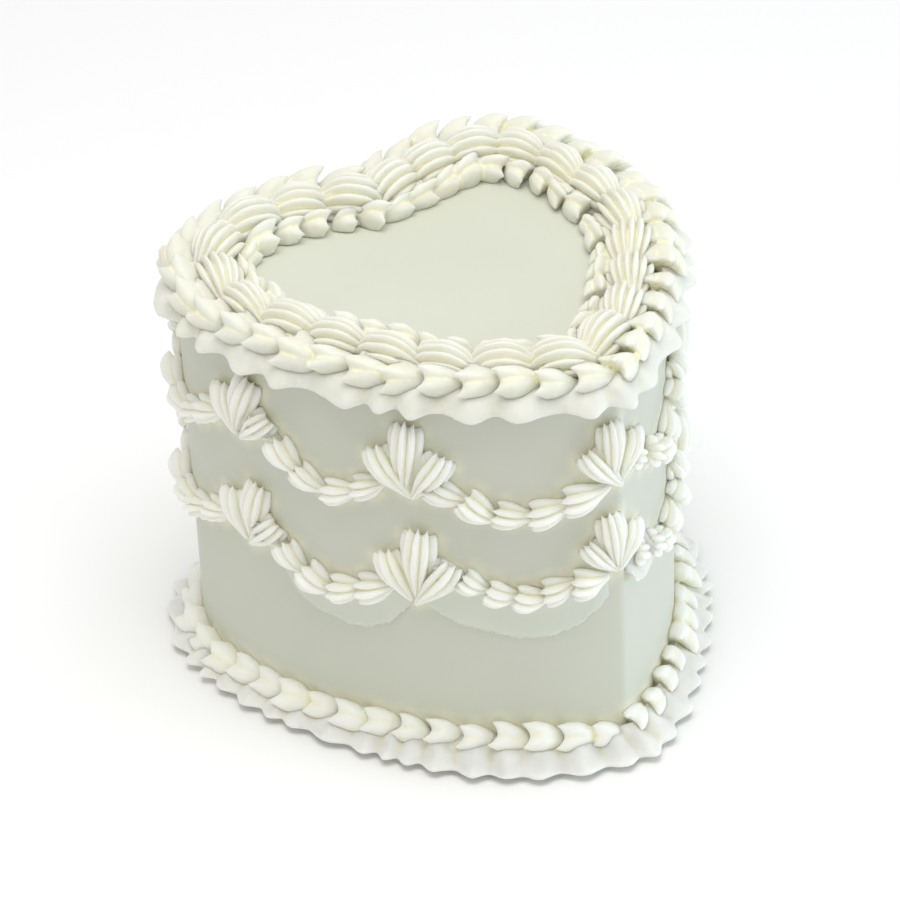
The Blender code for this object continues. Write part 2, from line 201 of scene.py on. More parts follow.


# %% [markdown]
# Four icings share the recipe. The wall and the top are spread smooth, and are
# duller than the piping. Their base is also far darker than the piping's: a
# little of that is their own tone, and the rest is painted shade, which keeps
# the wall as dark as it looks in its shade. The piping on the top lies full in
# the light, so its base is painted darker: a painted shade that keeps its tone
# beside the piping on the wall. Icing scraped thin is a little lighter than the
# wall that it lies on, and carries the same painted shade.

# %% The four icings
# Each "hollow" colour is a painted glow. It is mixed in where the mesh is hollow, and on the wall beside
# the piping.
PIPED = {
    "roughness": 0.42,
    "specular": 0.35,
    "scatter": 0.9,
    "scatter_depth": 0.005,
    "mottle_scale": 60.0,
    "deep": (0.945, 0.94, 0.795, 1.0),
    "pale": (0.96, 0.965, 0.855, 1.0),
    "hollow": (1.0, 0.94, 0.67, 1.0),
    "grain_scale": 900.0,
    "grain_strength": 0.25,
    "grain_depth": 0.0002,
}
# Painted shade in large part: this base is far darker than the piping's. It keeps the smooth wall as dark
# as it looks in its shade under these lamps.
SPREAD = {
    "roughness": 0.5,
    "specular": 0.3,
    "scatter": 0.25,
    "scatter_depth": 0.002,
    "mottle_scale": 16.0,
    "deep": (0.625, 0.64, 0.54, 1.0),
    "pale": (0.65, 0.665, 0.57, 1.0),
    "hollow": (0.92, 0.88, 0.66, 1.0),
    "grain_scale": 500.0,
    "grain_strength": 0.12,
    "grain_depth": 0.0002,
}
# Painted shade: the same buttercream as the piping, with its base painted darker because the top's piping
# lies full in the light. Its hollow colour is a brighter painted glow.
RIM = dict(
    PIPED,
    deep=(0.75, 0.745, 0.63, 1.0),
    pale=(0.77, 0.775, 0.685, 1.0),
    hollow=(1.0, 0.95, 0.69, 1.0),
)
# The thin icing's base carries the same painted shade as the wall's.
THIN = dict(SPREAD, deep=(0.70, 0.73, 0.63, 1.0), pale=(0.72, 0.75, 0.65, 1.0))
piped_icing = icing_material("piped_buttercream", PIPED)
rim_icing = icing_material("rim_buttercream", RIM)
thin_icing = icing_material("thin_buttercream", THIN)
spread_icing = icing_material("spread_buttercream", SPREAD)
print("icings:", piped_icing.name, rim_icing.name, thin_icing.name, spread_icing.name)

# %% [markdown]
# ## The wall line
#
# All the piping follows the cake's edge, so its outline is read back from the
# solid cake's lowest corners. The corners are 5 mm apart. They are read again
# at close steps and evened out, so that the new wall has no flats. Only the
# heart's point keeps its edge.

# %% Read the outline
READ_STEP = 0.5
EVEN_REACH = 5
POINT_REACH = 8.0


class Wall:
    """The cake's outline in millimetres, read by its length u from the point."""

    def __init__(self):
        corners = {
            (round(v.co.x / MM, 3), round(v.co.y / MM, 3))
            for v in frame["nodes"]["cake_body"].data.vertices
            if v.co.z < MM
        }
        lowest = sorted(corners, key=lambda corner: corner[1])[:2]
        point_x = sum(corner[0] for corner in lowest) / 2

        def turn(corner):
            return math.atan2(corner[0] - point_x, -corner[1]) % (2 * math.pi)

        loop = np.array(sorted(corners, key=turn))
        start = self.meeting(loop[1], loop[0], loop[-2], loop[-1])
        loop = np.vstack([start, loop, start])
        lengths = np.concatenate([[0], np.cumsum(np.linalg.norm(np.diff(loop, axis=0), axis=1))])
        self.length = lengths[-1]
        self.count = int(self.length / READ_STEP)
        self.step = self.length / self.count
        places = np.arange(self.count) * self.step
        exact = np.stack([np.interp(places, lengths, loop[:, axis]) for axis in (0, 1)], axis=1)
        shifts = range(-EVEN_REACH, EVEN_REACH + 1)
        even = sum(np.roll(exact, shift, axis=0) for shift in shifts) / len(shifts)
        crisp = (np.roll(exact, 1, axis=0) + exact + np.roll(exact, -1, axis=0)) / 3
        from_point = np.minimum(places, self.length - places)
        share = np.clip(from_point / POINT_REACH, 0, 1)[:, None]
        self.points = crisp + (even - crisp) * share
        off_middle = np.where(self.points[:, 1] > 0, np.abs(self.points[:, 0] - point_x), np.inf)
        self.notch = places[int(np.argmin(off_middle))]

    @staticmethod
    def meeting(a, b, c, d):
        """Where the line from a through b meets the line from c through d."""
        first, second = b - a, d - c
        across = first[0] * second[1] - first[1] * second[0]
        return b + first * ((d - b)[0] * second[1] - (d - b)[1] * second[0]) / across

    def normals(self, window):
        """Outward directions, evened out over a window on each side."""
        run = np.roll(self.points, -1, axis=0) - np.roll(self.points, 1, axis=0)
        run /= np.linalg.norm(run, axis=1)[:, None]
        reach = max(1, int(window / self.step))
        evened = sum(np.roll(run, shift, axis=0) for shift in range(-reach, reach + 1))
        evened /= np.linalg.norm(evened, axis=1)[:, None]
        return np.stack([evened[:, 1], -evened[:, 0]], axis=1)


wall = Wall()
print(f"outline {wall.length:.1f} mm round, notch at {wall.notch:.1f} mm")

# %% [markdown]
# ## Lines beside the wall
#
# A row of piping follows the wall at a distance. Round the heart's point and
# in its notch such a line is longer or shorter than the wall itself. So each
# line is measured along its own length, and shells keep even gaps on it. The
# outward directions are evened out over a window, as a hand rounds a corner.

# %% Lines beside the wall
class Line:
    """A line that follows the wall at a distance s outwards, with its own length v."""

    def __init__(self, s, window):
        self.places = np.arange(wall.count + 1) * wall.step
        self.out = np.vstack([wall.normals(window), wall.normals(window)[:1]])
        self.wall_points = np.vstack([wall.points, wall.points[:1]])
        offset = self.wall_points + self.out * s
        self.lengths = np.concatenate([[0], np.cumsum(np.linalg.norm(np.diff(offset, axis=0), axis=1))])
        self.length = self.lengths[-1]

    def u_of(self, v):
        return np.interp(np.mod(v, self.length), self.lengths, self.places)

    def v_of(self, u):
        return np.interp(np.mod(u, wall.length), self.places, self.lengths)

    def at(self, u):
        """Wall point and outward direction at u."""
        u = np.mod(u, wall.length)
        point = [np.interp(u, self.places, self.wall_points[:, axis]) for axis in (0, 1)]
        out = [np.interp(u, self.places, self.out[:, axis]) for axis in (0, 1)]
        return np.stack(point, axis=-1), np.stack(out, axis=-1)


def on_wall(line, u, s, z):
    """Point at u along the wall, s outwards and z up, with the directions there."""
    point, out = line.at(u)
    out = Vector((*out, 0.0))
    along = Vector((-out.y, out.x, 0.0))
    return Vector((*point, z)) + out * s, along, out


UP = Vector((0.0, 0.0, 1.0))
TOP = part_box("cake_body")[1].z / MM
print(f"the top is {TOP:.1f} mm up")

# %% [markdown]
# ## Helpers for working by hand
#
# Blender's operators act on whatever is selected. So each step starts with one
# object alone selected, and points are then picked by where they are.

# %% Select, pick and apply
def alone(item):
    """Select one object and make it the active one."""
    bpy.ops.object.select_all(action="DESELECT")
    item.select_set(True)
    bpy.context.view_layer.objects.active = item
    return item


def pick(item, wanted):
    """In edit mode, select just the points that the test accepts."""
    bpy.ops.mesh.select_all(action="DESELECT")
    mesh = bmesh.from_edit_mesh(item.data)
    for vertex in mesh.verts:
        vertex.select = wanted(vertex.co)
    mesh.select_flush(True)
    bmesh.update_edit_mesh(item.data)


def apply_all(item):
    """Apply every modifier in order."""
    alone(item)
    for modifier in list(item.modifiers):
        bpy.ops.object.modifier_apply(modifier=modifier.name)


# %% [markdown]
# Icing is never quite even. A noise pushes the surface in and out a little.
# Soft shells also run together where they meet. A mesh of small squares, built
# anew over the joined shells and then eased, gives that blend. A bevel would
# need a clean edge between the shells, and these joints are ragged.

# %% Waver, cut and melt
EVEN_LEVEL = 0.5
LUMP_SIZE = 9.0
CUT_MERGE = 0.0001
VOXEL = 0.5
EASE = 0.5


def uneven(item, depth, size=LUMP_SIZE):
    """Push the surface in and out a little, as a hand does; lumps are about size wide."""
    texture = bpy.data.textures.new(item.name + "_waver", "CLOUDS")
    texture.noise_scale = size
    waver = item.modifiers.new("waver", "DISPLACE")
    waver.texture = texture
    waver.texture_coords = "LOCAL"
    waver.strength = depth
    waver.mid_level = EVEN_LEVEL
    apply_all(item)


def cut_flat(item, height):
    """Cut off what is below a height and close the cut."""
    alone(item)
    bpy.ops.object.mode_set(mode="EDIT")
    bpy.ops.mesh.select_all(action="SELECT")
    bpy.ops.mesh.bisect(
        plane_co=(0, 0, height), plane_no=(0, 0, 1), use_fill=True, clear_inner=True, threshold=CUT_MERGE
    )
    bpy.ops.mesh.select_all(action="SELECT")
    bpy.ops.mesh.normals_make_consistent(inside=False)
    bpy.ops.object.mode_set(mode="OBJECT")


def melt(item, rounds):
    """Even mesh of small squares, eased, so that soft shells run together where they meet."""
    squares = item.modifiers.new("squares", "REMESH")
    squares.mode = "VOXEL"
    squares.voxel_size = VOXEL
    ease = item.modifiers.new("ease", "SMOOTH")
    ease.factor = EASE
    ease.iterations = rounds
    apply_all(item)


# %% [markdown]
# A point is hollow where its neighbours stand in front of it. The dot product
# of an edge and the normal at its end tells this, so no texture image is used.
# The icing's painted glow in the grooves follows this number.

# %% Mark the hollows and finish a piece
HOLLOW_ROUNDS = 2
HOLLOW_GAIN = 7.0
SHORTEST_SQUARED = 0.01


def mark_hollows(item):
    """Store how hollow the surface is at each point: 0 flat or round, 1 deep in a groove."""
    mesh = item.data
    count = len(mesh.vertices)
    co = np.empty(count * 3)
    normal = np.empty(count * 3)
    mesh.vertices.foreach_get("co", co)
    mesh.vertices.foreach_get("normal", normal)
    co, normal = co.reshape(-1, 3), normal.reshape(-1, 3)
    ends = np.empty(len(mesh.edges) * 2, dtype=np.int32)
    mesh.edges.foreach_get("vertices", ends)
    near, far = ends.reshape(-1, 2).T
    run = co[far] - co[near]
    run /= np.maximum((run**2).sum(axis=1), SHORTEST_SQUARED)[:, None]
    degree = np.maximum(np.bincount(near, minlength=count) + np.bincount(far, minlength=count), 1)

    def gather(at_near, at_far):
        return (np.bincount(near, at_near, count) + np.bincount(far, at_far, count)) / degree

    hollow = gather((run * normal[near]).sum(axis=1), -(run * normal[far]).sum(axis=1))
    for _ in range(HOLLOW_ROUNDS):
        hollow = (hollow + gather(hollow[far], hollow[near])) / 2
    stored = mesh.attributes.new("hollow", "FLOAT", "POINT")
    stored.data.foreach_set("value", np.clip(hollow * HOLLOW_GAIN, 0, 1).astype(np.float32))


def finish_piece(item, material, slot, *nodes):
    """Shrink to metres, give the icing, and stand in for the plain solids."""
    mark_hollows(item)
    item.data.transform(Matrix.Scale(MM, 4))
    item.data.materials.clear()
    item.data.materials.append(material)
    alone(item)
    bpy.ops.object.shade_smooth()
    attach(item, "root")
    if nodes:
        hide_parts(*nodes)
    item.data.calc_loop_triangles()
    print(item.name, len(item.data.loop_triangles), "triangles")
    return item


# %% [markdown]
# ## One piped shell
#
# A shell is a rope from a star-shaped nozzle. It swells at the head, where the
# hand squeezes, and thins to a tail, where the hand pulls away. Here the rope
# is piped straight first: a circle is extruded and resized stage by stage,
# then pressed into a star. At the head the ridges run on into free tips. A
# subdivision surface rounds it. Then the head is curled over, and what is
# below the cake's surface is cut off.
#
# The curl leans the rings of points. Near the head they lean forward about a
# hub, further and further, as the icing does when it folds over itself. Towards
# the tail they lean back a little. Each ring leans by its own angle, so a
# formula moves the points.

# %% Curl a rope
HEAD_REACH = 1.3
FULL_LEAN = 90


def curl(shell, nozzle):
    """Twist the ridges, lean the head's rings forward about its hub and the tail's back."""
    co = np.empty(len(shell.data.vertices) * 3)
    shell.data.vertices.foreach_get("co", co)
    co = co.reshape(-1, 3)
    hub = nozzle["hub"]
    x, y, z = co[:, 0].copy(), co[:, 1].copy(), co[:, 2].copy()
    twist = np.radians(nozzle["twist"]) * x / x.max()
    co[:, 1] = y * np.cos(twist) - z * np.sin(twist)
    z = y * np.sin(twist) + z * np.cos(twist)
    ahead = np.clip(1 - x / hub, 0, HEAD_REACH)
    behind = np.clip(x / hub - 1, 0, 1)
    angle = np.radians(nozzle["head_lean"]) * ahead - np.radians(nozzle["tail_lean"]) * behind
    middle = x + (hub - x) * ahead * (nozzle["head_lean"] / FULL_LEAN)
    co[:, 0] = middle - z * np.sin(angle)
    co[:, 2] = z * np.cos(angle)
    shell.data.vertices.foreach_set("co", co.ravel())
    shell.data.update()


# %% Pipe a straight rope, curl it and cut it flat
POINTS_PER_RIDGE = 4
GROOVE_SHARE = 0.4
RIDGE_SHARE = 0.1
RING_REACH = 0.01


def pipe_shell(name, nozzle, stages):
    """One shell, its head at x 0 and its tail towards +x, standing on z 0.

    Each stage is (x, half-width, height, how far grooves are pressed in, how
    far ridges stand out). The first is the hollow in the middle of the head.
    """
    bpy.ops.object.select_all(action="DESELECT")
    bpy.ops.mesh.primitive_circle_add(
        vertices=nozzle["ridges"] * POINTS_PER_RIDGE,
        radius=1.0,
        fill_type="NGON",
        location=(stages[0][0], 0.0, 0.0),
        rotation=(0.0, math.pi / 2, 0.0),
    )
    shell = bpy.context.active_object
    shell.name = name
    bpy.ops.object.transform_apply(location=True, rotation=True, scale=True)

    def in_ring(co, stage):
        return abs(co.x - stage[0]) < RING_REACH

    def from_ridge(co, stage):
        """How far round from the nearest ridge: 0 on it, 0.5 in the groove."""
        turn = math.atan2(co.y / stage[1], co.z / stage[2]) / (2 * math.pi) * nozzle["ridges"]
        share = (turn + nozzle["first_ridge"]) % 1.0
        return min(share, 1.0 - share)

    def in_groove(co, stage):
        return in_ring(co, stage) and from_ridge(co, stage) > GROOVE_SHARE

    def on_ridge(co, stage):
        return in_ring(co, stage) and from_ridge(co, stage) < RIDGE_SHARE

    bpy.ops.object.mode_set(mode="EDIT")
    bpy.ops.mesh.select_mode(type="VERT")
    before = (stages[0][0], 1.0, 1.0)
    for stage in stages:
        x, half_width, height = stage[:3]
        pick(shell, lambda co: in_ring(co, before))
        if x != before[0]:
            bpy.ops.mesh.extrude_region_move(TRANSFORM_OT_translate={"value": (x - before[0], 0, 0)})
        bpy.ops.transform.resize(
            value=(1.0, half_width / before[1], height / before[2]), center_override=(x, 0, 0)
        )
        before = stage
    for stage in stages:
        middle = (stage[0], 0, 0)
        groove, ridge = stage[3:]
        pick(shell, lambda co: in_groove(co, stage))
        bpy.ops.transform.resize(value=(1.0, groove, groove), center_override=middle)
        pick(shell, lambda co: on_ridge(co, stage))
        bpy.ops.transform.resize(value=(1.0, ridge, ridge), center_override=middle)

    pick(shell, lambda co: any(in_groove(co, stage) for stage in stages))
    bpy.ops.transform.edge_crease(value=nozzle["crease"])
    head = stages[1]
    pick(shell, lambda co: on_ridge(co, head))
    bpy.ops.transform.vert_crease(value=nozzle["pointed"])
    bpy.ops.transform.translate(value=(-nozzle["feather"], 0, 0))
    bpy.ops.mesh.select_all(action="SELECT")
    bpy.ops.mesh.normals_make_consistent(inside=False)
    bpy.ops.object.mode_set(mode="OBJECT")

    rounding = shell.modifiers.new("rounding", "SUBSURF")
    rounding.levels = nozzle["levels"]
    rounding.render_levels = nozzle["levels"]
    apply_all(shell)
    curl(shell, nozzle)
    cut_flat(shell, 0.0)
    print(name, len(shell.data.polygons), "faces")
    return shell


# %% [markdown]
# ## Laying copies
#
# Each shell is modelled once. A copy gets its own mesh, is turned and sized
# for its place, and the copies of one row are joined into one piece. Sizes and
# turns waver a little from copy to copy, by a seeded draw, as piping does.

# %% Lay copies along a line
SEED = 11
rng = random.Random(SEED)


def lay(master, place, ahead, up, size, waver):
    """Copy of a shell at a place: ahead runs from head to tail, up leaves the surface."""
    size_waver, turn_waver = waver
    along = Vector(ahead).normalized()
    rise = Vector(up)
    rise = (rise - along * rise.dot(along)).normalized()
    across = rise.cross(along)
    turn = Matrix((along, across, rise)).transposed()
    wobble = [math.radians(rng.uniform(-turn_waver, turn_waver)) for _ in range(2)]
    turn = turn @ Matrix.Rotation(wobble[0], 3, "Z") @ Matrix.Rotation(wobble[1], 3, "X")
    swell = 1 + rng.uniform(-size_waver, size_waver)
    grow = [part * swell * (1 + rng.uniform(-size_waver, size_waver) / 2) for part in size]
    mesh = master.data.copy()
    mesh.transform(Matrix.Translation(place) @ turn.to_4x4() @ Matrix.Diagonal((*grow, 1.0)))
    copy = bpy.data.objects.new(master.name + "_copy", mesh)
    bpy.context.scene.collection.objects.link(copy)
    return copy


def unite(copies, name):
    """Melt copies into one skin, so that no surface is left inside where they overlap."""
    whole, others = copies[0], copies[1:]
    group = bpy.data.collections.new(name + "_copies")
    for copy in others:
        group.objects.link(copy)
    union = whole.modifiers.new("union", "BOOLEAN")
    union.operation = "UNION"
    union.operand_type = "COLLECTION"
    union.collection = group
    union.solver = "MANIFOLD"
    apply_all(whole)
    for copy in others:
        bpy.data.objects.remove(copy)
    bpy.data.collections.remove(group)
    whole.name = name
    return whole


# %% [markdown]
# ## Large shells on the rim
#
# These come from a nozzle with many fine teeth. They start at the heart's
# notch and run down both sides to the point, where they meet tail to tail.
# The next head covers most of each tail, so only the fans of ridges show. One
# long grooved ring would be quicker, but it would lack those overlaps.

# %% Model the large shell
RIM_NOZZLE = {
    "ridges": 18,
    "first_ridge": 0.0,
    "crease": 0.6,
    "pointed": 0.2,
    "feather": 2.0,
    "levels": 1,
    "hub": 6.0,
    "head_lean": 62.0,
    "tail_lean": 12.0,
    "twist": 8.0,
}
RIM_STAGES = (
    (1.4, 2.0, 2.6, 1.0, 1.0),
    (0.0, 5.9, 7.8, 0.58, 1.14),
    (1.8, 7.6, 10.2, 0.64, 1.08),
    (4.4, 8.8, 12.8, 0.70, 1.02),
    (7.6, 9.0, 14.0, 0.74, 1.0),
    (11.0, 8.0, 13.0, 0.75, 1.0),
    (14.6, 6.2, 10.4, 0.76, 1.0),
    (18.4, 4.4, 7.4, 0.78, 1.0),
    (22.2, 2.9, 4.8, 0.80, 1.0),
    (26.0, 1.6, 2.6, 0.86, 1.0),
    (29.0, 0.7, 1.0, 0.92, 1.0),
)
rim_shell = pipe_shell("rim_shell", RIM_NOZZLE, RIM_STAGES)

# %% Lay the large shells
RIM_LINE = -12.3
RIM_WINDOW = 14.0
RIM_PITCH = 19.5
RIM_COUNTS = {"right": 11, "left": 12}
RIM_HEAD_SHARE = 0.02
RIM_AIM_SHARE = 0.7
RIM_SWELL = (1.06, 1.08)
RIM_WAVER = (0.05, 7.0)
RIM_UNEVEN = 0.7
rim_line = Line(RIM_LINE, RIM_WINDOW)
copies = []
for side, tail in (("right", 0.0), ("left", rim_line.length)):
    head = rim_line.v_of(wall.notch)
    pitch = (tail - head) / RIM_COUNTS[side]
    for index in range(RIM_COUNTS[side]):
        u = rim_line.u_of(head + pitch * (index + RIM_HEAD_SHARE))
        u_after = rim_line.u_of(head + pitch * (index + RIM_AIM_SHARE))
        place, _, _ = on_wall(rim_line, u, RIM_LINE, TOP)
        after, _, _ = on_wall(rim_line, u_after, RIM_LINE, TOP)
        size = (abs(pitch) / RIM_PITCH, *RIM_SWELL)
        copies.append(lay(rim_shell, place, after - place, UP, size, RIM_WAVER))
rim_row = unite(copies, "rim_shells")
uneven(rim_row, RIM_UNEVEN)
finish_piece(rim_row, rim_icing, "piped_icing", "top_shells")

# %% [markdown]
# ## Coarse shells over the edge
#
# A nozzle with six open teeth gives two broad lobes with a crease between.
# The head keeps the star's sharp corners, because the rope starts with a push.
# The same shell serves the top edge and the foot, leaning outwards on both.

# %% Model the coarse shell
COARSE_NOZZLE = {
    "ridges": 6,
    "first_ridge": 0.5,
    "crease": 0.8,
    "pointed": 0.95,
    "feather": 2.3,
    "levels": 2,
    "hub": 4.0,
    "head_lean": 18.0,
    "tail_lean": 8.0,
    "twist": 0.0,
}
COARSE_STAGES = (
    (2.6, 2.2, 3.2, 1.0, 1.0),
    (0.0, 6.6, 9.4, 0.80, 1.26),
    (1.4, 7.0, 10.2, 0.85, 1.14),
    (3.2, 6.8, 10.2, 0.89, 1.06),
    (5.4, 6.0, 9.4, 0.91, 1.02),
    (7.8, 4.8, 7.8, 0.92, 1.0),
    (10.2, 3.5, 5.6, 0.92, 1.0),
    (12.6, 2.1, 3.4, 0.93, 1.0),
    (14.8, 0.8, 1.4, 0.94, 1.0),
)
coarse_shell = pipe_shell("coarse_shell", COARSE_NOZZLE, COARSE_STAGES)

# %% [markdown]
# A row closes on itself, so its shells are laid at even steps of the line's own
# length. Each is aimed at a point further on, so that it follows the bends.

# %% Lay a row round the heart
ROW_AIM_SHARE = 0.8


def lay_row(master, name, row):
    """Row of shells round the whole heart, leaning outwards by its tilt in degrees."""
    copies = []
    line, count = row["line"], row["count"]
    lean = math.radians(row["tilt"])
    for index in range(count):
        u = line.u_of(line.length * index / count)
        u_after = line.u_of(line.length * (index + ROW_AIM_SHARE) / count)
        place, _, out = on_wall(line, u, row["outwards"], row["height"])
        after, _, _ = on_wall(line, u_after, row["outwards"], row["height"])
        up = out * math.sin(lean) + UP * math.cos(lean)
        copies.append(lay(master, place, after - place, up, row["size"], row["waver"]))
    return unite(copies, name)


# %% Coarse shells over the top edge
COARSE_UNEVEN = (1.2, 8.0)
edge_line = Line(0.0, window=8.0)
EDGE_ROW = {
    "line": edge_line,
    "count": 40,
    "outwards": -4.4,
    "height": TOP + 2.2,
    "tilt": 48.0,
    "size": (1.0, 1.0, 0.98),
    "waver": (0.10, 12.0),
}
edge_row = lay_row(coarse_shell, "edge_shells", EDGE_ROW)
uneven(edge_row, *COARSE_UNEVEN)
melt(edge_row, rounds=1)
finish_piece(edge_row, rim_icing, "piped_icing", "top_outer_shells")

# %% Coarse shells round the foot
TABLE_GAP = 0.4
FOOT_ROW = {
    "line": Line(0.0, window=10.0),
    "count": 46,
    "outwards": 0.0,
    "height": 3.6,
    "tilt": 46.0,
    "size": (0.9, 1.0, 0.98),
    "waver": (0.10, 11.0),
}
foot_row = lay_row(coarse_shell, "foot_shells", FOOT_ROW)
uneven(foot_row, *COARSE_UNEVEN)
cut_flat(foot_row, TABLE_GAP)
melt(foot_row, rounds=2)
finish_piece(foot_row, piped_icing, "piped_icing", "base_shells")

# %% [markdown]
# ## Small beads inside the rim
#
# A last round of small, uneven shells hides the foot of the large ones. They
# vary more than the others, because the hand works here in small stabs.

# %% Beads
BEAD_UNEVEN = (1.0, 5.0)
BEAD_LINE = -21.4
BEAD_NOZZLE = dict(COARSE_NOZZLE, first_ridge=0.0, feather=1.2, hub=3.0, head_lean=20.0)
BEAD_STAGES = (
    (1.8, 1.6, 2.6, 1.0, 1.0),
    (0.0, 4.6, 7.6, 0.74, 1.30),
    (1.3, 4.9, 8.6, 0.80, 1.16),
    (3.0, 4.8, 8.8, 0.85, 1.06),
    (5.0, 4.3, 8.0, 0.84, 1.0),
    (7.2, 2.8, 5.6, 0.86, 1.0),
    (9.6, 1.2, 2.6, 0.90, 1.0),
)
bead = pipe_shell("bead", BEAD_NOZZLE, BEAD_STAGES)
BEAD_ROW = {
    "line": Line(BEAD_LINE, window=22.0),
    "count": 36,
    "outwards": BEAD_LINE,
    "height": TOP,
    "tilt": -8.0,
    "size": (1.0, 1.0, 1.0),
    "waver": (0.13, 16.0),
}
bead_row = lay_row(bead, "inner_beads", BEAD_ROW)
uneven(bead_row, *BEAD_UNEVEN)
melt(bead_row, rounds=1)
finish_piece(bead_row, rim_icing, "piped_icing", "top_inner_beads")

# %% [markdown]
# ## Swags and fleurs on the wall
#
# Small ridged shells hang in curves between the fleurs, each of which is three
# shells whose tails meet in one point.

# %% Shells for the wall
WALL_NOZZLE = {
    "ridges": 10,
    "first_ridge": 0.0,
    "crease": 0.7,
    "pointed": 0.4,
    "feather": 1.3,
    "levels": 1,
    "hub": 3.0,
    "head_lean": 20.0,
    "tail_lean": 10.0,
    "twist": 16.0,
}
WALL_STAGES = (
    (1.6, 1.3, 1.6, 1.0, 1.0),
    (0.0, 4.4, 5.2, 0.58, 1.16),
    (1.2, 5.2, 6.4, 0.64, 1.08),
    (2.8, 5.4, 6.9, 0.69, 1.0),
    (5.0, 4.5, 6.0, 0.72, 1.0),
    (7.2, 2.9, 4.2, 0.75, 1.0),
    (9.6, 1.7, 2.6, 0.80, 1.0),
    (12.0, 0.9, 1.4, 0.86, 1.0),
)
LOBE_NOZZLE = dict(WALL_NOZZLE, pointed=0.6, feather=2.4, hub=5.0, head_lean=36.0, tail_lean=6.0)
LOBE_STAGES = (
    (1.8, 1.8, 2.2, 1.0, 1.0),
    (0.0, 5.6, 6.2, 0.58, 1.18),
    (1.8, 7.2, 8.4, 0.63, 1.10),
    (4.6, 8.2, 10.0, 0.68, 1.02),
    (8.6, 8.0, 10.0, 0.71, 1.0),
    (13.0, 6.6, 8.6, 0.73, 1.0),
    (18.0, 4.5, 6.4, 0.75, 1.0),
    (23.0, 2.6, 4.4, 0.80, 1.0),
    (27.0, 1.1, 2.4, 0.90, 1.0),
)
wall_shell = pipe_shell("wall_shell", WALL_NOZZLE, WALL_STAGES)
lobe_shell = pipe_shell("lobe_shell", LOBE_NOZZLE, LOBE_STAGES)

# %% [markdown]
# A swag is read as a hanging curve: its heights beside its two fleurs, and how
# far its middle sags below them. Its first and last shells tuck in under the
# fleurs' side lobes. Every one hangs a little differently, so the two rows are
# tables of heights, and fleurs and swags are numbered from the heart's point.

# %% Where the wall piping hangs
FLEUR_PLACES = (0.0, 58.0, 115.5, 173.0, 229.6, -197.0, -132.5, -68.5)
FLEUR_SCALES = (0.88, 1.0, 0.97, 1.02, 0.98, 1.0, 0.98, 1.06)
UPPER_ROW = {
    "name": "upper",
    "tips": (108.5, 106.0, 105.0, 105.5, 105.0, 106.0, 107.5, 103.8),
    "swag_ends": (
        (115.0, 116.0),
        (116.0, 114.0),
        (114.0, 115.0),
        (115.0, 114.0),
        (114.0, 116.0),
        (115.0, 117.0),
        (120.0, 110.0),
        (111.0, 109.0),
    ),
    "sags": (14.0, 13.0, 14.0, 13.5, 14.0, 13.0, 13.5, 10.8),
    "beads": (5, 5, 5, 5, 5, 5, 5, 5),
    "leans": (-9.0, 4.0, -3.0, 5.0, -2.0, 3.0, 14.0, 0.0),
}
LOWER_ROW = {
    "name": "lower",
    "tips": (71.5, 66.0, 63.0, 63.5, 63.0, 63.5, 64.5, 60.8),
    "swag_ends": (
        (75.0, 74.0),
        (74.0, 72.0),
        (73.0, 74.0),
        (74.0, 72.0),
        (72.0, 73.0),
        (73.0, 74.0),
        (76.0, 66.5),
        (76.5, 72.5),
    ),
    "sags": (10.0, 10.5, 10.0, 10.5, 10.0, 10.5, 10.0, 7.8),
    "beads": (5, 5, 5, 5, 5, 5, 5, 6),
    "leans": (-11.0, -2.0, 4.0, -4.0, 3.0, -3.0, 15.0, 5.0),
}
print("wall rows:", len(FLEUR_PLACES), "fleurs each,", sum(LOWER_ROW["beads"]), "shells in the lower swags")

# %% Pipe a swag
SUNK = -0.9
WALL_UNEVEN = (0.5, 6.0)
# The heights at a swag's ends are measured this far from the fleurs' middles.
SWAG_CLEARANCE = 11.8
SWAG_TUCK = 4.6
SWAG_STEPS = 120
# Over this share of the span at each end, and on under the fleur, the curve is level.
LEVEL_SHARE = 0.03
BEAD_LENGTH = 9.6
BEAD_WIDTH = 1.06
BEAD_RISE = 1.3
# The first shell is flatter, because a side lobe of the fleur lies over it.
FIRST_BEAD_RISE = 0.7
BEAD_WAVER = (0.09, 9.0)


def lay_on_wall(master, u, z, heading, size, waver):
    """Shell lying on the wall; heading is its tail's direction, from +u towards up."""
    place, along, out = on_wall(edge_line, u, SUNK, z)
    ahead = along * math.cos(heading) + UP * math.sin(heading)
    return lay(master, place, ahead, out, size, waver)


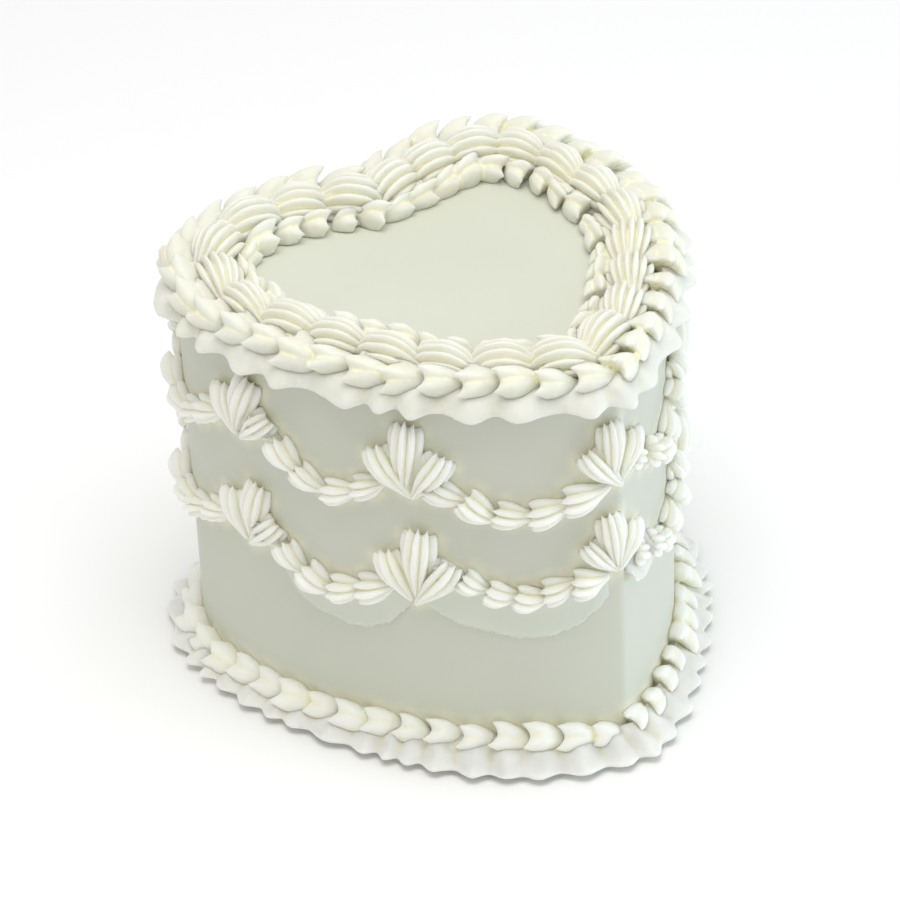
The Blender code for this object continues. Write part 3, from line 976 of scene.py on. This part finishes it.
def pipe_swag(row, index):
    """Chain of shells that hangs from one fleur to the next."""
    places = [place % wall.length for place in FLEUR_PLACES] + [wall.length]
    start = places[index] + SWAG_CLEARANCE
    span = places[index + 1] - SWAG_CLEARANCE - start
    near_end, far_end = row["swag_ends"][index]
    sag = row["sags"][index]
    across = np.linspace(start - SWAG_TUCK, start + span + SWAG_TUCK, SWAG_STEPS)
    share = np.clip((across - start) / span, LEVEL_SHARE, 1 - LEVEL_SHARE)
    height = near_end + (far_end - near_end) * share - sag * (1 - (2 * share - 1) ** 2)
    steps = np.hypot(np.diff(across), np.diff(height))
    lengths = np.concatenate([[0], np.cumsum(steps)])
    heads = np.linspace(0, lengths[-1], row["beads"][index] + 1)
    u = np.interp(heads, lengths, across)
    z = np.interp(heads, lengths, height)

    copies = []
    for near in range(row["beads"][index]):
        ahead, drop = u[near + 1] - u[near], z[near + 1] - z[near]
        rise = BEAD_RISE * (FIRST_BEAD_RISE if near == 0 else 1.0)
        size = (math.hypot(ahead, drop) / BEAD_LENGTH, BEAD_WIDTH, rise)
        copies.append(lay_on_wall(wall_shell, u[near], z[near], math.atan2(drop, ahead), size, BEAD_WAVER))
    swag = unite(copies, f"{row['name']}_swag_piping_{index + 1}")
    uneven(swag, *WALL_UNEVEN)
    finish_piece(swag, piped_icing, "piped_icing", f"{row['name']}_swag_{index + 1}")


# %% Pipe a fleur
LOBE_REACH = 26.4
LOBE_RISE = 1.1
LOBE_WAVER = (0.06, 5.0)
# Each lobe: how far it turns from the fleur's middle, its length share and its width share.
FLEUR_LOBES = ((31.0, 0.78, 0.73), (-31.0, 0.78, 0.73), (0.0, 1.07, 0.78))


def pipe_fleur(row, index):
    """Three shells whose tails meet in one point below."""
    copies = []
    scale = FLEUR_SCALES[index]
    for turn, length, width in FLEUR_LOBES:
        lean = math.radians(turn + row["leans"][index])
        reach = LOBE_REACH * length * scale
        u = FLEUR_PLACES[index] + reach * math.sin(lean)
        z = row["tips"][index] + reach * math.cos(lean)
        heading = math.atan2(-math.cos(lean), -math.sin(lean))
        size = (length * scale, width * scale, width * scale * LOBE_RISE)
        copies.append(lay_on_wall(lobe_shell, u, z, heading, size, LOBE_WAVER))
    fleur = unite(copies, f"{row['name']}_fleur_piping_{index + 1}")
    uneven(fleur, *WALL_UNEVEN)
    finish_piece(fleur, piped_icing, "piped_icing", f"{row['name']}_fleur_{index + 1}")


# %% Pipe both rows
for row in (UPPER_ROW, LOWER_ROW):
    for index in range(len(FLEUR_PLACES)):
        pipe_swag(row, index)
        pipe_fleur(row, index)

# %% [markdown]
# ## Ruffles
#
# A petal nozzle lays a thin ribbon. The hand waves as it goes round, so the
# free lip swings in and out while the root stays put. The ribbon is a grid,
# wrapped round the wall by a formula because each wave follows the outline.
# A wave modifier knows only straight or round waves.

# %% A ribbon round the heart
RIBBON_THICKNESS = 1.2
RIBBON_UNEVEN = (0.9, 6.0)
WAVE_STEPS = 12
SEAM_MERGE = 0.05
HAIR = 1e-6


def ruffle(name, line, waves, strips, shape, icing, node):
    """Closed ribbon round the heart; shape(around, share) gives (s, z) of a point."""
    bpy.ops.object.select_all(action="DESELECT")
    bpy.ops.mesh.primitive_grid_add(x_subdivisions=waves * WAVE_STEPS, y_subdivisions=strips, size=2.0)
    ribbon = bpy.context.active_object
    ribbon.name = name
    for vertex in ribbon.data.vertices:
        v = line.length * (vertex.co.x + 1) / 2
        s, z = shape(v / line.length, (vertex.co.y + 1) / 2)
        u = line.u_of(min(v, line.length - HAIR))
        point, out = line.at(u)
        vertex.co = (*(point + out * s), z)
    alone(ribbon)
    bpy.ops.object.mode_set(mode="EDIT")
    bpy.ops.mesh.select_all(action="SELECT")
    bpy.ops.mesh.remove_doubles(threshold=SEAM_MERGE)
    bpy.ops.mesh.normals_make_consistent(inside=False)
    bpy.ops.object.mode_set(mode="OBJECT")
    thickness = ribbon.modifiers.new("thickness", "SOLIDIFY")
    thickness.thickness = RIBBON_THICKNESS
    thickness.offset = 0.0
    rounding = ribbon.modifiers.new("rounding", "SUBSURF")
    rounding.levels = 1
    rounding.render_levels = 1
    apply_all(ribbon)
    uneven(ribbon, *RIBBON_UNEVEN)
    return finish_piece(ribbon, icing, "piped_icing", node)


# %% Uneven waves
# How far the waves hurry or lag, and in how many half turns round the heart.
LAGS = ((0.22, 14), (0.16, 26))


def wave_table(count, low, high, fluted):
    """Wave with unevenly drawn heights, to be read anywhere round the ring.

    It hurries and lags as it goes round. The more fluted it is, the rounder
    are its outward lobes and the narrower its hollows.
    """
    sizes = [rng.uniform(low, high) for _ in range(count)]

    def read(around):
        lag = sum(depth * math.sin(half_turns * math.pi * around) for depth, half_turns in LAGS)
        place = around * count + lag
        index = math.floor(place) % count
        part = place - math.floor(place)
        near, far = sizes[index], sizes[(index + 1) % count]
        round_wave = math.cos(2 * math.pi * place)
        flute = 2 * abs(math.cos(math.pi * place)) - 1
        return (near + (far - near) * part) * (round_wave + (flute - round_wave) * fluted)

    return read


# %% [markdown]
# The upper ruffle starts under the coarse shells, runs out over the edge and
# hangs down in front of the wall. Its lip swings the most, and is nearly level.

# %% Ruffle under the top edge
TOP_WAVES = 32
TOP_STRIPS = 8
TOP_SWING = (1.5, 2.5)
TOP_ROOT = (-2.5, 4.4)
TOP_REACH = 9.2
TOP_SLOPE = 1.0
TOP_DROP = 6.3
TOP_DROP_CURVE = 2.2
TOP_SWING_CURVE = 0.8
TOP_LIP_DIP = 0.1
top_wave = wave_table(TOP_WAVES, *TOP_SWING, fluted=0.0)


def top_shape(around, share):
    """From under the coarse shells, out over the edge and down to the lip."""
    root_s, root_z = TOP_ROOT
    swing = top_wave(around) * share**TOP_SWING_CURVE
    s = root_s + TOP_REACH * share + swing
    z = TOP + root_z - TOP_SLOPE * share - TOP_DROP * share**TOP_DROP_CURVE - TOP_LIP_DIP * swing
    return s, z


ruffle("top_ruffle_piping", edge_line, TOP_WAVES, TOP_STRIPS, top_shape, rim_icing, "top_ruffle")

# %% [markdown]
# The lower ruffle slopes from under the foot shells to the table. It is more
# tightly fluted, and near its root each flute stands up as well as out. It is
# widest on the left front, where the hand drew it further away.

# %% Ruffle round the foot
FOOT_WAVES = 50
FOOT_STRIPS = 10
FOOT_SWING = (1.2, 2.4)
FOOT_FLUTED = 0.3
FOOT_ROOT = (2.0, 7.2)
FOOT_REACH = 11.8
FOOT_BULGE = 6.8
FOOT_BULGE_PLACE = -32.0
FOOT_BULGE_WIDTH = 48.0
FOOT_DROP = 4.2
FOOT_DROP_CURVE = 0.8
FLUTE_SHARE = 0.9
FLUTE_RISE = 2.5
FLUTE_FADE = 0.8
LIP_HEIGHT = 1.3
foot_line = Line(0.0, window=16.0)
foot_wave = wave_table(FOOT_WAVES, *FOOT_SWING, FOOT_FLUTED)


def foot_shape(around, share):
    """From under the foot shells outwards over the table, widest on the left front."""
    root_s, root_z = FOOT_ROOT
    u = foot_line.u_of(min(around * foot_line.length, foot_line.length - HAIR))
    apart = (u - FOOT_BULGE_PLACE + wall.length / 2) % wall.length - wall.length / 2
    reach = FOOT_REACH + FOOT_BULGE * math.exp(-((apart / FOOT_BULGE_WIDTH) ** 2))
    swing = foot_wave(around)
    s = root_s + (reach - root_s) * share + FLUTE_SHARE * swing * share
    fall = root_z - FOOT_DROP * share**FOOT_DROP_CURVE
    z = fall + FLUTE_SHARE * swing * min(1.0, share * FLUTE_RISE) * (1 - FLUTE_FADE * share)
    return s, max(z, LIP_HEIGHT)


ruffle("foot_ruffle_piping", foot_line, FOOT_WAVES, FOOT_STRIPS, foot_shape, piped_icing, "base_ruffle")

# %% [markdown]
# ## The iced body
#
# The body is the outline pulled up: a ring of points, filled and extruded to
# the top. The ring is read again from the wall's line, because the solid cake's
# own corners would show as flats. The many rings carry the tint of the next step.

# %% Body
BODY_POINTS = 326
BODY_RINGS = 58
SHARP_ANGLE = 50
bpy.ops.object.select_all(action="DESELECT")
bpy.ops.mesh.primitive_circle_add(vertices=BODY_POINTS, radius=1.0, fill_type="NGON")
body = bpy.context.active_object
body.name = "iced_body"
body_line = Line(0.0, window=2.0)
for vertex in body.data.vertices:
    share = math.atan2(vertex.co.x, -vertex.co.y) / (2 * math.pi) % 1.0
    point, _ = body_line.at(share * wall.length)
    vertex.co = (*point, 0.0)
alone(body)
bpy.ops.object.mode_set(mode="EDIT")
bpy.ops.mesh.select_all(action="SELECT")
for _ in range(BODY_RINGS):
    bpy.ops.mesh.extrude_region_move(TRANSFORM_OT_translate={"value": (0, 0, TOP / BODY_RINGS)})
bpy.ops.mesh.select_all(action="SELECT")
bpy.ops.mesh.normals_make_consistent(inside=False)
bpy.ops.object.mode_set(mode="OBJECT")
finish_piece(body, spread_icing, "smooth_icing", "cake_body")
bpy.ops.object.shade_smooth_by_angle(angle=math.radians(SHARP_ANGLE))

# %% [markdown]
# ## Warm the wall beside the piping
#
# Light that has passed through the piping yellows the wall next to it. The
# renderer would need very many bounces for that, so the wall's hollow number
# is raised instead where piping is near.

# %% Warm the wall
HALO_REACH = 5.0
HALO_STRENGTH = 0.75
HALO_CURVE = 1.5
HALO_SKIP = 12
near_points = [
    vertex.co
    for item in bpy.context.scene.objects
    if "_swag_piping_" in item.name or "_fleur_piping_" in item.name or item.name == "foot_shells"
    for vertex in list(item.data.vertices)[::HALO_SKIP]
]
tree = KDTree(len(near_points))
for index, co in enumerate(near_points):
    tree.insert(co, index)
tree.balance()
halo = body.data.attributes["hollow"]
for vertex in body.data.vertices:
    distance = tree.find(vertex.co)[2] / MM
    halo.data[vertex.index].value = HALO_STRENGTH * max(0.0, 1 - distance / HALO_REACH) ** HALO_CURVE
print("points beside the wall:", len(near_points))

# %% [markdown]
# ## Smears of icing on the wall
#
# Below each lower swag on the left front the icing was scraped into a thin,
# half see-through sheet with a ragged lower edge. A narrow comb-edged one is
# beside the fleur on the point. Each is a grid laid on the wall between an
# upper line, which the piping hides, and an edge, and then given a thickness.

# %% Where the smears are
SMEARS = {
    "left_smear": {
        "upper": ((-118, 66), (-94, 60), (-70, 66)),
        "rag": 0.5,
        "flare": 0.6,
        "icing": thin_icing,
        "edge": (
            (-118, 62), (-112.5, 53.3), (-106, 48.7), (-97.5, 47),
            (-92, 45.9), (-85, 46.8), (-77, 51.1), (-70, 60),
        ),
    },
    "front_smear": {
        "upper": ((-68, 72), (-35, 66), (-20, 67), (-5, 72)),
        "rag": 0.5,
        "flare": 0.6,
        "icing": thin_icing,
        "edge": (
            (-68, 62), (-66, 60.7), (-54, 53.7), (-35, 48.8),
            (-24.5, 48.7), (-15, 52.8), (-8, 59), (-5, 62.5),
        ),
    },
    "comb_smear": {
        "upper": ((1, 74), (17, 77)),
        "rag": 0.9,
        "flare": 4.0,
        "icing": piped_icing,
        "edge": ((1.5, 70), (4, 66), (8, 65), (12, 67), (15, 70.5), (17, 75)),
    },
}

# %% Lay the smears
SMEAR_STEP = 0.7
SMEAR_ROWS = 12
SMEAR_THICKNESS = 0.8
SMEAR_GAP = 0.1
# The flare fades out over the last twelfth at each end.
END_EASE = 12


def smear(name, look):
    """Thin sheet on the wall, from its upper line down to a ragged edge."""
    places, heights = zip(*look["edge"])
    columns = int((places[-1] - places[0]) / SMEAR_STEP)
    ragged = [rng.uniform(-look["rag"], look["rag"]) for _ in range(columns + 1)]
    bpy.ops.object.select_all(action="DESELECT")
    bpy.ops.mesh.primitive_grid_add(x_subdivisions=columns, y_subdivisions=SMEAR_ROWS, size=2.0)
    sheet = bpy.context.active_object
    sheet.name = name
    for vertex in sheet.data.vertices:
        across = (vertex.co.x + 1) / 2
        down = (1 - vertex.co.y) / 2
        u = places[0] + (places[-1] - places[0]) * across
        lowest = float(np.interp(u, places, heights)) + ragged[round(across * columns)]
        upper = float(np.interp(u, *zip(*look["upper"])))
        z = upper + (lowest - upper) * down
        ends = min(1.0, across * END_EASE, (1 - across) * END_EASE)
        place, _, _ = on_wall(edge_line, u, SMEAR_GAP + look["flare"] * ends * down**2, z)
        vertex.co = place
    thickness = sheet.modifiers.new("thickness", "SOLIDIFY")
    thickness.thickness = SMEAR_THICKNESS
    thickness.offset = 0.0
    apply_all(sheet)
    return finish_piece(sheet, look["icing"], "smooth_icing")


for name, look in SMEARS.items():
    smear(name, look)

# %% [markdown]
# ## Clear up and set the cake down
#
# The five shells that were copied are not part of the cake, so they go. A wide
# pale floor catches the soft shadow. It is stage, and not part of the cake.

# %% Remove the masters
for master in (rim_shell, coarse_shell, bead, wall_shell, lobe_shell):
    bpy.data.objects.remove(master)

# %% Floor
FLOOR_SIZE = 6.0
FLOOR_COLOUR = (0.97, 0.97, 0.97, 1.0)
FLOOR_ROUGHNESS = 0.9
bpy.ops.object.select_all(action="DESELECT")
bpy.ops.mesh.primitive_plane_add(size=FLOOR_SIZE)
floor = bpy.context.active_object
floor.name = "floor"
paper = bpy.data.materials.new("pale_paper")
paper.use_nodes = True
paper.node_tree.nodes["Principled BSDF"].inputs["Base Color"].default_value = FLOOR_COLOUR
paper.node_tree.nodes["Principled BSDF"].inputs["Roughness"].default_value = FLOOR_ROUGHNESS
floor.data.materials.append(paper)
